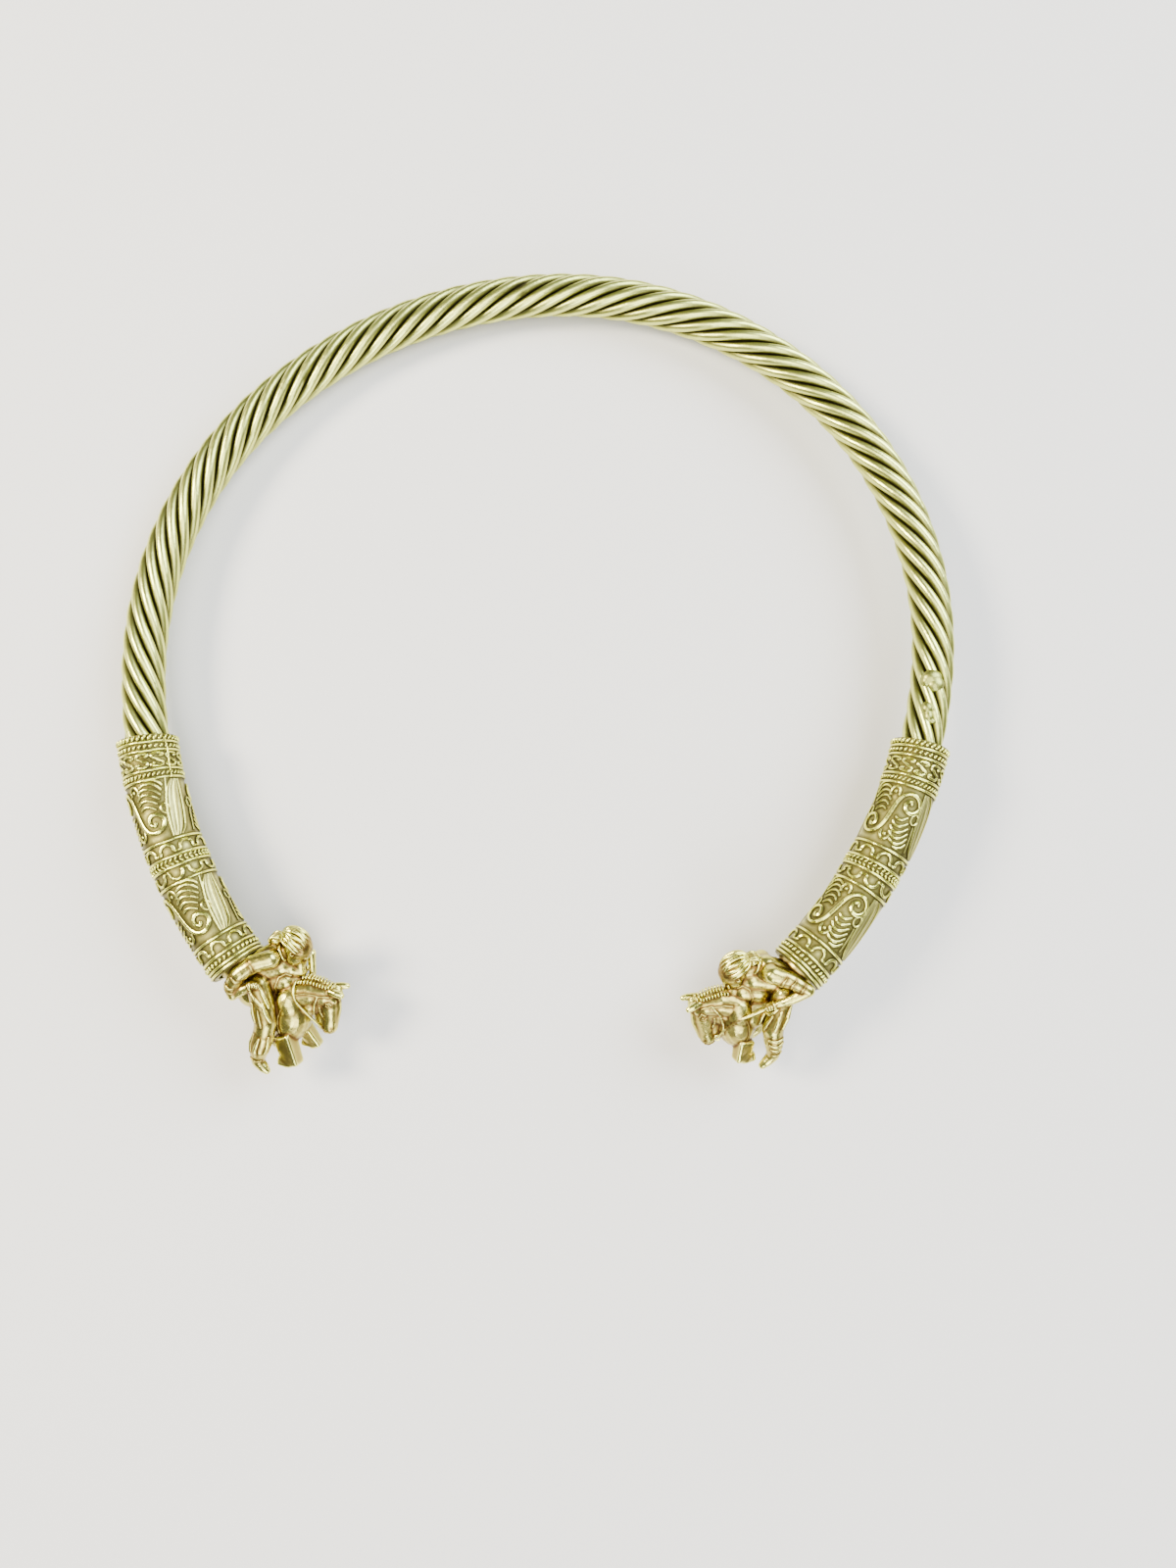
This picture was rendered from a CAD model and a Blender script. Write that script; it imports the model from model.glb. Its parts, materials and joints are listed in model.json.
import json
from math import atan2, cos, hypot, pi, radians, sin, tan

import bpy
from mathutils import Matrix, Vector, bvhtree, kdtree

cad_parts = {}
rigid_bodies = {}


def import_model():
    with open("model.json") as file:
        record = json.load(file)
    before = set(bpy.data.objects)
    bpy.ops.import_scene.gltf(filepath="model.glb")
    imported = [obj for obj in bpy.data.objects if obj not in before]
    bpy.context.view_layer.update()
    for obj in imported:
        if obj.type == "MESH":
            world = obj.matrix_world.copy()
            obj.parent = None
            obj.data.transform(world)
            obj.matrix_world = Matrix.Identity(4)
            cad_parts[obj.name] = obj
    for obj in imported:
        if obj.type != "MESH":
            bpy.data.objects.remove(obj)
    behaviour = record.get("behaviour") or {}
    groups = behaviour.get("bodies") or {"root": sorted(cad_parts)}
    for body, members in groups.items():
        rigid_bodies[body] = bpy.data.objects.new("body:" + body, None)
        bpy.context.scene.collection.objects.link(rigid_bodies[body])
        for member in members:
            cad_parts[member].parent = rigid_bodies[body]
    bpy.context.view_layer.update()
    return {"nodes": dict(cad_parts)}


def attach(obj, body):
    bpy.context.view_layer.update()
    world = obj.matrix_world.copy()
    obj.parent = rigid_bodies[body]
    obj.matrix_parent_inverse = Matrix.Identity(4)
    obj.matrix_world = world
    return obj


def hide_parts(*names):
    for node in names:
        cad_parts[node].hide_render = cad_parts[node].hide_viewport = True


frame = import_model()
bpy.ops.object.select_all(action="DESELECT")
print("frame loaded")

# Pieces are made in millimetres, in the plane of the hoop, and set in place at the end.
hoop = {
    "centre": (1.486, -2.207, 7.317),
    "tilts": (-3.388, -1.264),  # degrees about x and y, as the ring lies
    "backPlace": (0.3, 63.7, 0),
    "backHeading": 2.3,
    "radii": {"left": (71, 59, 77), "right": (59.7, 56, 78)},  # three arcs from the back
    "arcLength": 50,  # of the first two
    "length": {"left": 148, "right": 152},
}
handed = {"left": -1, "right": 1}

toWorld = Matrix.Scale(0.001, 4) @ Matrix.Translation(hoop["centre"])
for tilt, axis in zip(hoop["tilts"], "XY"):
    toWorld = toWorld @ Matrix.Rotation(radians(tilt), 4, axis)


def select(*pieces):
    bpy.ops.object.select_all(action="DESELECT")
    for piece in pieces:
        piece.select_set(True)
    bpy.context.view_layer.objects.active = pieces[-1]


def modify(piece, kind, **settings):
    select(piece)
    modifier = piece.modifiers.new(kind, kind)
    for key, value in settings.items():
        setattr(modifier, key, value)
    bpy.context.view_layer.update()
    bpy.ops.object.modifier_apply(modifier=modifier.name)


def settle(piece, matrix=None):
    # moves a piece's own place, or the given one, into its mesh
    select(piece)
    if matrix is not None:
        piece.matrix_world = matrix
    bpy.ops.object.transform_apply(location=True, rotation=True, scale=True)
    return piece


def oneSkin(piece, voxel, smoothing):
    # fuses what overlaps, and rounds the seams
    modify(piece, "REMESH", mode="VOXEL", voxel_size=voxel, adaptivity=0.0)
    modify(piece, "SMOOTH", factor=0.5, iterations=smoothing)


def justAdded():
    return settle(bpy.context.object)


def ball(place, radius, stretch=(1, 1, 1), turn=(0, 0, 0), faces=(20, 10)):
    bpy.ops.mesh.primitive_uv_sphere_add(
        segments=faces[0], ring_count=faces[1], radius=radius, location=place, scale=stretch,
        rotation=[radians(angle) for angle in turn]
    )
    return justAdded()


def addObject(name, data):
    added = bpy.data.objects.new(name, data)
    bpy.context.scene.collection.objects.link(added)
    return added


def merge(pieces, name):
    select(*pieces)
    if len(pieces) > 1:
        bpy.ops.object.join()
    piece = bpy.context.object
    piece.name = name
    piece.data.name = name
    return piece


def editAll(piece):
    # edit mode, with all of the piece selected
    select(piece)
    bpy.ops.object.mode_set(mode="EDIT")
    bpy.ops.mesh.select_all(action="SELECT")


def editDone():
    bpy.ops.object.mode_set(mode="OBJECT")


def tidyMesh(piece, distance=0.0005):
    # joins doubles, unless the distance is 0, and turns the faces outwards
    editAll(piece)
    if distance:
        bpy.ops.mesh.remove_doubles(threshold=distance)
    bpy.ops.mesh.normals_make_consistent(inside=False)
    editDone()


def copyOf(piece, matrix=None):
    select(piece)
    bpy.ops.object.duplicate()
    return settle(bpy.context.object, matrix)


# The line of the hoop, from the left terminal over the back to the right one.
def halfKnots(side):
    # places, headings and handle lengths of one half, from the back
    sign = handed[side]
    place = Vector(hoop["backPlace"])
    heading = Matrix.Rotation(radians(hoop["backHeading"]), 3, "Z") @ Vector((sign, 0, 0))
    arcs = [hoop["arcLength"], hoop["arcLength"], hoop["length"][side] - 2 * hoop["arcLength"]]
    knots = [(place, heading, 0)]
    for length, radius in zip(arcs, hoop["radii"][side]):
        turn = Matrix.Rotation(-sign * length / radius, 3, "Z")
        middle = place + Matrix.Rotation(-sign * pi / 2, 3, "Z") @ heading * radius
        place = middle + turn @ (place - middle)
        heading = turn @ heading
        knots.append((place, heading, 4 / 3 * tan(length / radius / 4) * radius))
    return knots


halves = {side: halfKnots(side) for side in handed}
leftBack = halves["left"][:0:-1]  # from the terminal, without the knot that both halves share
travel = [(place, -heading) for place, heading, reach in leftBack]
travel += [(place, heading) for place, heading, reach in halves["right"]]
reaches = [knot[2] for knot in leftBack + halves["right"][1:]]
lineData = bpy.data.curves.new("hoopLine", "CURVE")
lineData.dimensions = "3D"
lineData.twist_mode = "Z_UP"
lineSpline = lineData.splines.new("BEZIER")
lineSpline.resolution_u = 64
lineSpline.bezier_points.add(len(travel) - 1)
for index, (point, (place, heading)) in enumerate(zip(lineSpline.bezier_points, travel)):
    point.handle_left_type = point.handle_right_type = "FREE"
    point.co = place
    point.handle_left = place - heading * reaches[max(index - 1, 0)]
    point.handle_right = place + heading * reaches[min(index, len(reaches) - 1)]
hoopLine = addObject("hoopLine", lineData)


def layOnHoop(piece):
    # bends the straight piece along the line, and sets it as the ring lies
    modify(piece, "CURVE", object=hoopLine, deform_axis="POS_X")
    settle(piece, toWorld)


def setRelief(piece, values):
    # how clean the metal is, for its material: 0 in dirt, 1 where it is rubbed
    layer = piece.data.attributes.new("relief", "FLOAT", "POINT")
    layer.data.foreach_set("value", values)


def unit(value):
    return min(max(value, 0), 1)


def treeOf(piece):
    return bvhtree.BVHTree.FromObject(piece, bpy.context.evaluated_depsgraph_get())


def smooth(piece, angle):
    select(piece)
    bpy.ops.object.shade_smooth_by_angle(angle=radians(angle))


def apartFrom(places, first):
    # how far each place before the first is from the nearest of the others
    tree = kdtree.KDTree(len(places) - first)
    for index in range(first, len(places)):
        tree.insert(places[index], index)
    tree.balance()
    return [tree.find(place)[2] for place in places[:first]]


def roundWires(lines, steps):
    # each line is its places with their radii, and whether it is closed
    data = bpy.data.curves.new("wires", "CURVE")
    data.dimensions = "3D"
    data.bevel_depth = 1.0
    data.bevel_resolution = 1
    data.resolution_u = steps
    data.use_fill_caps = True
    for points, closed in lines:
        spline = data.splines.new("BEZIER")
        spline.use_cyclic_u = closed
        spline.bezier_points.add(len(points) - 1)
        for point, (place, radius) in zip(spline.bezier_points, points):
            point.co = place
            point.handle_left_type = point.handle_right_type = "AUTO"
            point.radius = radius
    select(addObject("wires", data))
    bpy.ops.object.convert(target="MESH")
    tidyMesh(bpy.context.object)
    return bpy.context.object


# Twisted wires
rope = {
    "wires": 8,
    "wireRadius": 0.82,
    "circle": 2.52,  # radius at which the wires lie
    "lay": 33.8,
    "turns": 8,  # longer than the hoop, and cut off
    "sides": 20,
    "stepsPerTurn": 44,
    "sleeveStart": {"left": 111, "right": 112},  # from the back
    "inserted": 3,
}


def makeWire():
    slope = atan2(1, -2 * pi * rope["circle"] / rope["lay"])
    bpy.ops.mesh.primitive_circle_add(
        vertices=rope["sides"], radius=rope["wireRadius"], location=(0, rope["circle"], 0),
        rotation=(0, slope, 0)
    )
    wire = justAdded()
    modify(
        wire, "SCREW", axis="X", angle=-2 * pi, screw_offset=rope["lay"], iterations=rope["turns"],
        steps=rope["stepsPerTurn"], render_steps=rope["stepsPerTurn"], use_merge_vertices=False
    )
    return wire


def cutOff(piece, place, normal, threshold=0.00001):
    # cuts off what lies beyond the place, and closes the cut
    editAll(piece)
    bpy.ops.mesh.bisect(plane_co=place, plane_no=normal, use_fill=True, clear_outer=True, threshold=threshold)
    editDone()


stains = {  # dark spots on the wires
    "spots": (  # place in the ring, size
        (-5.4, 63.4, 3.2, 0.65), (-4.7, 63.8, 3.1, 0.6), (-4.1, 64.2, 2.9, 0.5), (-4.7, 62, 3.3, 0.55),
        (-38.9, 47.6, 3.2, 0.75), (-37.1, 47.5, 3.2, 0.65),
    ),
    "dark": 0.4,  # share of the size that is all dark
    "kept": 0.2,  # share of the relief that stays there
}


def stain(piece):
    relief = piece.data.attributes["relief"].data
    for vertex, value in zip(piece.data.vertices, relief):
        for *place, size in stains["spots"]:
            apart = (vertex.co - toWorld @ Vector(place)).length * 1000 / size
            value.value *= min(max(apart - stains["dark"], stains["kept"]), 1)


firstWire = makeWire()
wireFrom = hoop["length"]["left"] - rope["sleeveStart"]["left"] - rope["inserted"]
wireTo = hoop["length"]["left"] + rope["sleeveStart"]["right"] + rope["inserted"]
contact = rope["circle"] * cos(pi / rope["wires"])  # radius at which two wires meet
outside = rope["circle"] + rope["wireRadius"]
for number in range(1, rope["wires"] + 1):
    turn = 2 * pi * (hoop["length"]["left"] / rope["lay"] + number / rope["wires"])
    strand = copyOf(firstWire, Matrix.Rotation(turn, 4, "X"))
    cutOff(strand, (wireFrom, 0, 0), (-1, 0, 0))
    cutOff(strand, (wireTo, 0, 0), (1, 0, 0))
    tidyMesh(strand)
    radii = [hypot(v.co.y, v.co.z) for v in strand.data.vertices]
    setRelief(strand, [unit((r - contact) / (outside - contact)) for r in radii])
    layOnHoop(strand)
    stain(strand)
    strand.name = f"wire{number}"
    smooth(strand, 50)
bpy.data.objects.remove(firstWire)

# Two patches of solder that bridge the grooves near the right sleeve
solder = {
    "lumps": (  # place in the ring, half sizes
        ((60.1, -0.9, 2.75), (1.6, 1.3, 0.9)), ((60.6, -2, 2.75), (1.4, 1.3, 0.9)),
        ((59.2, -1.4, 2.45), (0.95, 1.1, 0.95)), ((59.1, -5.8, 2.7), (1, 1.1, 0.88)),
        ((59.25, -7.1, 2.7), (0.85, 1.1, 0.86)), ((60.05, -6.1, 2.85), (0.5, 0.38, 0.6)),
        ((59.8, -8, 2.8), (0.7, 0.42, 0.6)),
    ),
    "voxel": 0.14,
    "smoothing": 4,
    "relief": 0.69,
    "wire": "wire3",  # joined to this one
}
patch = merge([ball(place, 1, size, faces=(24, 16)) for place, size in solder["lumps"]], "solder")
oneSkin(patch, solder["voxel"], solder["smoothing"])
settle(patch, toWorld)
setRelief(patch, [solder["relief"]] * len(patch.data.vertices))
select(patch)
bpy.ops.object.shade_smooth()
merge([patch, bpy.data.objects[solder["wire"]]], solder["wire"])
print("wires twisted")


# The sleeves. Ornament is drawn flat, x round the sleeve, -z towards the terminal and -y outwards,
# then wrapped round the z axis. A share is one of the sleeve's length.
sleeve = {
    "bore": 3.5,
    "radius": 4.3,
    "length": {"left": 38.5, "right": 41.4},
    "beyond": {"left": 1.4, "right": 0.9},  # past the end of the hoop's line
    "plainWires": (0.031, 0.067, 0.147, 0.184, 0.442, 0.506, 0.546, 0.612, 0.871, 0.937, 0.974, 0.99),
    "plainRadius": 0.2,
    "plainLift": 0.1,
    "beadRows": (  # share, number, slant in degrees, size round, outwards and along, radius of the row
        (0.013, 34, 40, (0.23, 0.3, 0.52), 4.42),
        (0.049, 34, 35, (0.22, 0.28, 0.38), 4.38),
        (0.1655, 40, 40, (0.17, 0.28, 0.42), 4.38),
        (0.5185, 36, 45, (0.17, 0.28, 0.36), 4.38),
        (0.5335, 36, -45, (0.17, 0.28, 0.36), 4.38),
        (0.9555, 34, 30, (0.24, 0.3, 0.38), 4.38),
    ),
    "archRows": ((0.474, 1), (0.579, -1), (0.904, 1)),  # share, and 1 where the arch opens to the terminal
    "archCount": 9,
    "archWire": (0.225, -0.09),  # radius, and its middle's place outwards from the sheet
    "scrollShare": 0.107,
    "scrollCount": 12,
    "scrollSize": (1.65, 1.12),
    "scrollWire": (0.215, -0.08),
    "panels": ((0.191, 0.435), (0.619, 0.864)),  # from one share to another
    "panelWire": (0.25, -0.09),
    "repeats": 2,
    "wireEnd": 0.72,  # share of its thickness at a wire's ends
    "turn": {"left": -36, "right": -29},  # of the panels' pattern round the sleeve
    "sheetSides": 120,
    "sheetRow": 0.25,
    "dirtFrom": 0.12,  # the sheet is dark this near a wire
    "dirtTo": 1.02,  # and clean this far away
    "sheetRelief": 0.55,
    "cleanHeight": 0.3,  # above the sheet
}
# Half an arch, half an S with its thicker end, and the seam
archLine = ((-1.46, -0.6), (-1.06, -0.56), (-0.98, 0), (-0.62, 0.5), (0, 0.7))
scrollTurns = ((0.42, 0.44), (0.56, 0.7), (0.2, 0.92), (-0.32, 0.84), (-0.46, 0.45), (-0.1, 0.12), (0, 0))
scrollEnd = ((0.42, 0.44), (0.34, 0.5), (0.36, 0.42))
seam = {"line": ((0, 0.02), (0.12, 0.08), (-0.05, 0.19)), "radius": 0.13, "lift": 0.24, "turn": 52}

# One palmette. Columns: place round the sleeve, share of the panel's length
palmette = {
    "scroll": (
        (2.62, 0.25), (2.3, 0.205), (1.88, 0.225), (1.7, 0.29), (1.95, 0.355), (2.6, 0.385), (3.3, 0.36),
        (3.8, 0.29), (3.75, 0.2), (3.1, 0.12), (2.2, 0.09), (1.4, 0.115), (0.8, 0.18), (0.42, 0.27),
        (0.18, 0.37), (0, 0.47),
    ),
    "centre": (0, 0.47),  # all of it repeats turned half round about this place
    "petals": (
        ((0.95, 0.5), (1.6, 0.53), (2.5, 0.51), (3.2, 0.455)),
        ((0.75, 0.58), (1.5, 0.63), (2.6, 0.615), (3.6, 0.54)),
        ((0.7, 0.665), (1.5, 0.725), (2.8, 0.71), (4, 0.61)),
        ((0.85, 0.755), (1.8, 0.815), (3.1, 0.8), (4.35, 0.68)),
        ((1.4, 0.86), (2.4, 0.9), (3.6, 0.875), (4.6, 0.755)),
        ((2.6, 0.955), (3.5, 0.95), (4.3, 0.91), (4.85, 0.835)),
    ),
    "heart": ((3.85, 0.46), (4.75, 0.36), (4.75, 0.52)),
    "stem": ((4.85, 0.55), (5.15, 0.72), (5.5, 0.95)),
    "bud": ((-1.15, 0.2), (-1.05, 0.09), (-0.45, 0.035), (0.15, 0.08), (0.25, 0.17)),
    "dot": (-0.42, 0.12),
    "dotRadius": 0.26,
    "dotLift": 0.08,
    "widths": {"scroll": 1.12, "petal": 0.8, "heart": 0.62, "stem": 0.6, "bud": 0.78, "leaf": 0.7},
    "spreadFrom": 0.7,
    "spread": {"left": 1, "right": 0.82},  # of the petals round the sleeve
}
leaf = {  # a slanted blade, the same turned half round about its middle
    "middle": (6.75, 0.5),
    "shift": {"left": 0.75, "right": -0.95},
    "edge": ((5.15, 0.02), (5.2, 0.22), (5.4, 0.47), (5.75, 0.7), (6.3, 0.87), (7.1, 0.985)),
    "rise": 0.24,
    "folds": 3,
    "foot": 0.04,  # how far its edge is sunk
    "depth": 0.25,
    "columns": 18,
    "rows": 26,
}


def strokes(lines, radius, sink=0.0):
    # each line on the flat is its points, its width and whether it is closed
    laid = []
    for points, width, closed in lines:
        radii = [radius * width] * len(points)
        if not closed:
            radii[0] = radii[-1] = radius * width * sleeve["wireEnd"]
        laid.append(([((x, sink, z), thick) for (x, z), thick in zip(points, radii)], closed))
    return roundWires(laid, 5)


def wrap(piece, radius):
    # bends the flat piece round the z axis, with its face outwards
    across = [v.co.x for v in piece.data.vertices]
    span = max(across) - min(across)
    modify(piece, "SIMPLE_DEFORM", deform_method="BEND", deform_axis="Z", angle=span / radius)
    return settle(piece, Matrix.Translation((0, -radius, 0)))


def repeatRound(piece, count):
    bpy.ops.object.empty_add(rotation=(0, 0, 2 * pi / count))
    spinner = bpy.context.object
    modify(
        piece, "ARRAY", count=count, use_relative_offset=False, use_object_offset=True, offset_object=spinner
    )
    bpy.data.objects.remove(spinner)
    return piece


def makeTube(length):
    # the plain sheet with its wall, finely divided for the dirt in its recesses
    bpy.ops.mesh.primitive_circle_add(vertices=sleeve["sheetSides"], radius=sleeve["radius"])
    tube = justAdded()
    editAll(tube)
    rows = round(length / sleeve["sheetRow"])
    for row in range(rows):
        bpy.ops.mesh.extrude_region_move(TRANSFORM_OT_translate={"value": (0, 0, -length / rows)})
    editDone()
    tidyMesh(tube)
    modify(tube, "SOLIDIFY", thickness=sleeve["radius"] - sleeve["bore"], offset=-1)
    return tube


def makeRings(length):
    rings = []
    for share in sleeve["plainWires"]:
        bpy.ops.mesh.primitive_torus_add(
            major_radius=sleeve["radius"] + sleeve["plainLift"], minor_radius=sleeve["plainRadius"],
            major_segments=96, minor_segments=10, location=(0, 0, -share * length)
        )
        rings.append(justAdded())
    return rings


def makeBeads(length):
    rows = []
    for share, count, slant, size, radius in sleeve["beadRows"]:
        bead = ball((0, -radius, -share * length), 1, size, (0, slant, 0), (10, 7))
        rows.append(repeatRound(bead, count))
    return rows


def setRound(lines, wire, count):
    return repeatRound(wrap(strokes(lines, *wire), sleeve["radius"]), count)


def makeArches(length):
    line = list(archLine) + [(-x, z) for x, z in reversed(archLine[:-1])]
    rows = []
    for share, opens in sleeve["archRows"]:
        lines = [([(x, z * opens - share * length) for x, z in line], 1, False)]
        rows.append(setRound(lines, sleeve["archWire"], sleeve["archCount"]))
    return rows


def makeScrolls(length):
    # one S, the same turned half round, thicker at its ends
    wide, high = sleeve["scrollSize"]
    line = list(scrollTurns) + [(-x, -z) for x, z in reversed(scrollTurns[:-1])]
    lines = []
    for points, width in ((line, 1), (scrollEnd, 1.15), ([(-x, -z) for x, z in scrollEnd], 1.15)):
        points = [(x * wide, z * high - sleeve["scrollShare"] * length) for x, z in points]
        lines.append((points, width, False))
    return setRound(lines, sleeve["scrollWire"], sleeve["scrollCount"])


def makeSeam(length):
    # the edge of a patch that crosses the first bands of the left sleeve
    strip = strokes([([(x, -share * length) for x, share in seam["line"]], 1, False)], seam["radius"])
    settle(strip, Matrix.Translation((0, -sleeve["radius"] - seam["lift"], 0)))
    return settle(strip, Matrix.Rotation(radians(seam["turn"]), 4, "Z"))


def makeBlade(side, first, span):
    # the smooth folded leaf between two scrolls
    bpy.ops.mesh.primitive_grid_add(x_subdivisions=leaf["columns"], y_subdivisions=leaf["rows"], size=2)
    blade = justAdded()
    edge = [Vector((*point, 0)) for point in leaf["edge"]]
    middle = Vector((*leaf["middle"], 0))

    def onEdge(share):
        reach = share * (len(edge) - 1)
        step = min(int(reach), len(edge) - 2)
        return edge[step].lerp(edge[step + 1], reach - step)

    for vertex in blade.data.vertices:
        across, along = (vertex.co.x + 1) / 2, (vertex.co.y + 1) / 2
        place = onEdge(along).lerp(2 * middle - onEdge(1 - along), across)
        swell = sin(pi * across) ** 0.5 if 0 < across < 1 else 0
        fold = 0.5 + 0.5 * abs(sin(pi * across * leaf["folds"]))
        x = (place.x + leaf["shift"][side]) * handed[side]
        vertex.co = (x, leaf["foot"] - leaf["rise"] * swell * fold, -(first + place.y * span))
    editAll(blade)
    bpy.ops.mesh.extrude_region_move(TRANSFORM_OT_translate={"value": (0, leaf["depth"], 0)})
    editDone()
    tidyMesh(blade)
    return blade


def makePanel(side, first, last):
    # the palmette scrolls between two bands
    span, spread, shift = last - first, palmette["spread"][side], leaf["shift"][side]
    widths, start = palmette["widths"], palmette["spreadFrom"]

    def flat(place, turned, spread=1.0, centre=palmette["centre"], shift=0.0):
        x, share = start + (place[0] - start) * spread, place[1]
        if turned:
            x, share = 2 * centre[0] - x, 2 * centre[1] - share
        return ((x + shift) * handed[side], -(first + share * span))

    scroll = [flat(p, False) for p in palmette["scroll"][:-1]]
    scroll += [flat(p, True) for p in reversed(palmette["scroll"])]
    lines, dots = [(scroll, widths["scroll"], False)], []
    for turned in (False, True):
        for petal in palmette["petals"]:
            lines.append(([flat(p, turned, spread) for p in petal], widths["petal"], False))
        for part, wide, closed in (("heart", spread, True), ("stem", spread, False), ("bud", 1, False)):
            lines.append(([flat(p, turned, wide) for p in palmette[part]], widths[part], closed))
        x, z = flat(palmette["dot"], turned)
        dots.append(ball((x, -palmette["dotLift"], z), palmette["dotRadius"], faces=(8, 6)))
        edge = [flat(p, turned, 1, leaf["middle"], shift) for p in leaf["edge"]]
        lines.append((edge, widths["leaf"], False))
    blade = makeBlade(side, first, span)
    panel = merge([strokes(lines, *sleeve["panelWire"])] + dots + [blade], "panel")
    panel = wrap(panel, sleeve["radius"])
    settle(panel, Matrix.Rotation(radians(sleeve["turn"][side]), 4, "Z"))
    return repeatRound(panel, sleeve["repeats"])


def shadeRelief(piece, tubeCount):
    # bright on the wires, dark on the sheet close beside them
    places = [v.co.copy() for v in piece.data.vertices]
    near, far, ground = sleeve["dirtFrom"], sleeve["dirtTo"], sleeve["sheetRelief"]
    values = [unit((gap - near) / (far - near)) * ground for gap in apartFrom(places, tubeCount)]
    values += [unit((hypot(p.x, p.y) - sleeve["radius"]) / sleeve["cleanHeight"]) for p in places[tubeCount:]]
    setRelief(piece, values)


def makeSleeve(side):
    length, beyond = sleeve["length"][side], sleeve["beyond"][side]
    tube = makeTube(length)
    pieces = makeRings(length) + makeBeads(length) + makeArches(length) + [makeScrolls(length)]
    pieces += [makePanel(side, first * length, last * length) for first, last in sleeve["panels"]]
    if side == "left":
        pieces.append(makeSeam(length))
    tubeCount = len(tube.data.vertices)
    piece = merge(list(reversed(pieces)) + [tube], f"sleeve{side.title()}")
    shadeRelief(piece, tubeCount)
    sign = handed[side]
    start = length - beyond if side == "left" else sum(hoop["length"].values()) - length + beyond
    settle(piece, Matrix(((0, 0, -sign, start), (sign, 0, 0, 0), (0, -1, 0, 0), (0, 0, 0, 1))))
    layOnHoop(piece)
    smooth(piece, 60)
    return piece


sleeves = {side: makeSleeve(side) for side in handed}
print("sleeves made")


# The terminals. A figure has its own axes: x forwards, y up, and z out of the ring's plane.
terminal = {
    "downward": 17,  # degrees, of the horse's forward direction
    "roll": {"left": 24, "right": 34},
    "seat": {"left": 0, "right": 0.9},
    "rootRadius": 3.2,
    "rootLength": 3.2,
    "voxel": 0.13,
    "smoothing": 11,
    "hollowSmoothing": 40,
    "hollowDepth": 0.16,
    "levelRelief": 0.62,  # of skin that is neither hollow nor proud
    "dirtTo": 0.42,  # from a chased line
    "dirtRelief": 0.45,
    "poll": (15.8, -0.2),
    "bow": {"left": 0, "right": -11},  # degrees, of the horse's head about its poll
    "headLength": {"left": 1, "right": 1.2},  # of what lies below headFrom
    "headFrom": -2,
    "outside": 12,  # beyond the figure
    "farLeg": 0.9,  # the far leg is held a little closer in
}

# Chains of joints: forwards, up, out, radius
horseBody = (
    ((6.2, -5.2, 0, 2.5), (8.6, -5.4, 0, 2.9)),
    ((10.6, -2.9, 0, 2.6), (12.7, -1.85, 0, 2.3), (14.8, -1.45, 0, 1.9)),
    ((11, -4.4, 0, 2.4), (13, -3.5, 0, 2.05), (14.4, -2.9, 0, 1.7)),
    ((10.6, -1, 0, 1.1), (12.3, -0.15, 0, 0.85), (14.1, 0.05, 0, 0.8), (15.8, -0.3, 0, 0.65)),  # crest
    ((6.4, -1.7, 0, 2.2), (8.6, -0.9, 0, 1.9), (9.9, -0.6, 0, 1.3)),  # withers
)
bodyForms = (  # place, radius, stretch along x, y and z, turn in degrees
    ((10.75, -6.3, 0), 3.25, (1.02, 1.44, 1), (0, 0, 5)),  # chest
    ((10.3, -4.2, 1.3), 2.3, (0.95, 1.3, 0.85), (0, 0, 12)),  # shoulders
    ((10.3, -4.2, -1.3), 2.3, (0.95, 1.3, 0.85), (0, 0, 12)),
    ((15.5, -3.1, 0.55), 1.3, (0.95, 1.25, 0.7), (0, 0, 14)),  # cheeks
    ((15.5, -3.1, -0.55), 1.3, (0.95, 1.25, 0.7), (0, 0, 14)),
)
horseHead = (
    ((15.6, -1.3, 0, 1.55), (16.1, -3, 0, 1.6), (16.7, -5.2, 0, 1.3), (16.9, -6.4, 0, 1.3)),
    ((15, -3.7, 0, 1.25), (15.9, -6.2, 0, 1.1)),  # jaws
    ((16.75, -1.1, 0, 0.8), (17.45, -3.2, 0, 0.62), (17.6, -5.8, 0, 0.55)),  # bridge of the nose
    ((17.35, -6.6, 0.5, 0.55), (17.35, -6.6, -0.5, 0.55)),  # nostrils
    ((16.65, -7.25, 0.25, 0.5), (16.65, -7.25, -0.25, 0.5)),  # lower lip
    ((15.9, -1.35, 1.05, 0.5), (16.75, -1.7, 0.85, 0.42)),  # brows
    ((15.9, -1.35, -1.05, 0.5), (16.75, -1.7, -0.85, 0.42)),
    ((15.9, -0.15, 0.95, 0.6), (16.9, -0.1, 1.2, 0.62), (17.7, -0.1, 1.3, 0.52)),  # ears
    ((15.9, -0.15, -0.95, 0.6), (17.1, 0.2, -1.2, 0.6), (17.8, 0.35, -1.3, 0.48)),
)
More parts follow.
